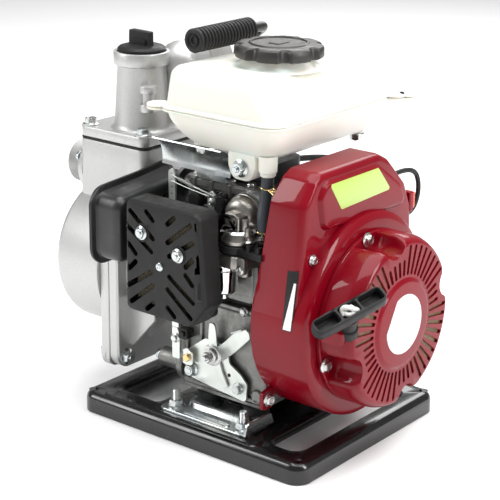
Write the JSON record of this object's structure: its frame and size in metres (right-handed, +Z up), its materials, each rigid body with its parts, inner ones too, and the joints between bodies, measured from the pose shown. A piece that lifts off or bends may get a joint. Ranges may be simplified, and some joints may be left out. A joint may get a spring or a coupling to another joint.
{
  "type": "engine-driven water pump",
  "caption": "Small four-stroke petrol engine with recoil starter driving a self-priming centrifugal water pump on a pressed steel base.",
  "frame": {"origin": "on the floor, under the middle of the machine's bounding box", "axes": "+X along the crank axis from the pump to the recoil starter, +Y from the carburettor side to the far side, +Z up"},
  "size_m": [0.4364, 0.2658, 0.3908],
  "materials": {
    "black_enamel": "gloss",
    "red_enamel": "gloss",
    "zinc_plate": "satin",
    "cast_aluminium": "cast, fine grain",
    "crankcase_aluminium": "cast, satin",
    "steel": "machined",
    "black_steel": "satin, heat resistant",
    "black_plastic": "fine grain",
    "cap_plastic": "fine grain",
    "tank_plastic": "smooth",
    "rubber": "matte",
    "hose_rubber": "satin",
    "carb_metal": "die cast",
    "chrome_steel": "bright",
    "rope_cord": "braided",
    "foam": "open cell foam",
    "red_plastic": "smooth",
    "bronze": "machined",
    "gasket_fibre": "fibre",
    "ceramic": "glazed",
    "copper_coil": "potted"
  },
  "bodies": {
    "machine": {"base_frame": "black_enamel", "engine_brackets": "zinc_plate", "bracket_studs": "zinc_plate", "rubber_mounts": "rubber", "crankcase": "crankcase_aluminium", "crankcase_cover": "crankcase_aluminium", "oil_drain_plug": "zinc_plate", "cylinder_block": "crankcase_aluminium", "cylinder_head": "crankcase_aluminium", "rocker_cover": "black_steel", "valves": "steel", "spark_plug": "zinc_plate", "ignition_lead": "rubber", "ignition_coil": "copper_coil", "intake_elbow": "cast_aluminium", "main_bearings": "chrome_steel", "piston": "cast_aluminium", "connecting_rod": "cast_aluminium", "blower_housing": "red_enamel", "recoil_cover": "red_enamel", "recoil_bolts": "zinc_plate", "fuel_tank_upper": "tank_plastic", "fuel_tank_lower": "tank_plastic", "tank_fasteners": "zinc_plate", "fuel_hose": "hose_rubber", "heat_shield": "zinc_plate", "carburettor": "carb_metal", "float_bowl": "chrome_steel", "air_filter_case": "black_plastic", "air_filter_element": "foam", "air_filter_cover": "black_plastic", "air_filter_fasteners": "zinc_plate", "muffler_outer_shell": "black_steel", "muffler_inner_shell": "black_steel", "throttle_plate": "zinc_plate", "stop_switch_wire": "rubber", "carry_handle": "black_steel", "handle_grip": "rubber", "pump_casing": "cast_aluminium", "pump_gasket": "gasket_fibre", "pump_top_cover": "cast_aluminium", "pump_bolts": "zinc_plate", "pump_adapter": "black_steel", "mechanical_seal": "ceramic"},
    "crank": {"crankshaft": "steel", "flywheel": "cast_aluminium", "impeller": "bronze"},
    "cam": {"camshaft": "steel"},
    "pull_handle": {"starter_handle": "black_plastic", "starter_rope": "rope_cord"},
    "rope_reel": {"starter_pulley": "black_plastic"},
    "throttle": {"throttle_lever": "zinc_plate"},
    "choke": {"choke_lever": "black_plastic"},
    "fuel_tap": {"fuel_tap_lever": "black_plastic"},
    "governor": {"governor_lever": "zinc_plate"},
    "switch_rocker": {"stop_switch": "red_plastic"},
    "tank_cap": {"fuel_cap": "cap_plastic"},
    "filler_plug": {"priming_plug": "black_plastic"},
    "dipstick": {"oil_filler_cap": "black_plastic"},
    "suction_flap": {"check_valve": "rubber"}
  },
  "joints": [
    {"name": "crank_turn", "type": "hinge", "parent": "machine", "child": "crank", "pos_m": [0.02576, 0.00373, 0.135], "axis": [1, 0, 0], "continuous": true},
    {"name": "cam_turn", "type": "hinge", "parent": "machine", "child": "cam", "pos_m": [0.02576, 0.03072, 0.099], "axis": [1, 0, 0], "continuous": true},
    {"name": "starter_pull", "type": "slide", "parent": "machine", "child": "pull_handle", "axis": [0.3312, -0.4616, 0.8229], "range_m": [0, 0.5]},
    {"name": "rope_reel_turn", "type": "hinge", "parent": "machine", "child": "rope_reel", "pos_m": [0.18326, 0.00373, 0.135], "axis": [1, 0, 0], "range_deg": [0, 900]},
    {"name": "throttle_swing", "type": "hinge", "parent": "machine", "child": "throttle", "pos_m": [0.02676, -0.07128, 0.083], "axis": [0, -1, 0], "range_deg": [0, 25]},
    {"name": "choke_swing", "type": "hinge", "parent": "machine", "child": "choke", "pos_m": [0.02976, -0.05627, 0.231], "axis": [0, -1, 0], "range_deg": [0, 35]},
    {"name": "fuel_tap_swing", "type": "hinge", "parent": "machine", "child": "fuel_tap", "pos_m": [0.06176, -0.07527, 0.203], "axis": [0, 0, 1], "range_deg": [-50, 0]},
    {"name": "governor_swing", "type": "hinge", "parent": "machine", "child": "governor", "pos_m": [-0.02624, -0.06128, 0.096], "axis": [0, 1, 0], "range_deg": [-3, 0]},
    {"name": "stop_switch_rock", "type": "hinge", "parent": "machine", "child": "switch_rocker", "pos_m": [0.13476, 0.09632, 0.224], "axis": [1, 0, 0], "range_deg": [-8, 8]},
    {"name": "tank_cap_turn", "type": "hinge", "parent": "machine", "child": "tank_cap", "pos_m": [0.04576, 0.00172, 0.37], "axis": [0, 0, 1], "range_deg": [0, 90]},
    {"name": "filler_plug_turn", "type": "hinge", "parent": "machine", "child": "filler_plug", "pos_m": [-0.12624, -0.00128, 0.352], "axis": [0, 0, 1], "range_deg": [0, 360]},
    {"name": "dipstick_turn", "type": "hinge", "parent": "machine", "child": "dipstick", "pos_m": [0.05576, 0.07072, 0.072], "axis": [0, 1, 0], "range_deg": [0, 360]},
    {"name": "suction_flap_swing", "type": "hinge", "parent": "machine", "child": "suction_flap", "pos_m": [-0.17064, 0.00373, 0.247], "axis": [0, -1, 0], "range_deg": [0, 60]}
  ],
  "couplings": [
    {"joint": "cam_turn", "follows": "crank_turn", "ratio": -0.5},
    {"joint": "rope_reel_turn", "follows": "starter_pull", "rad_per_m": 31.25}
  ]
}
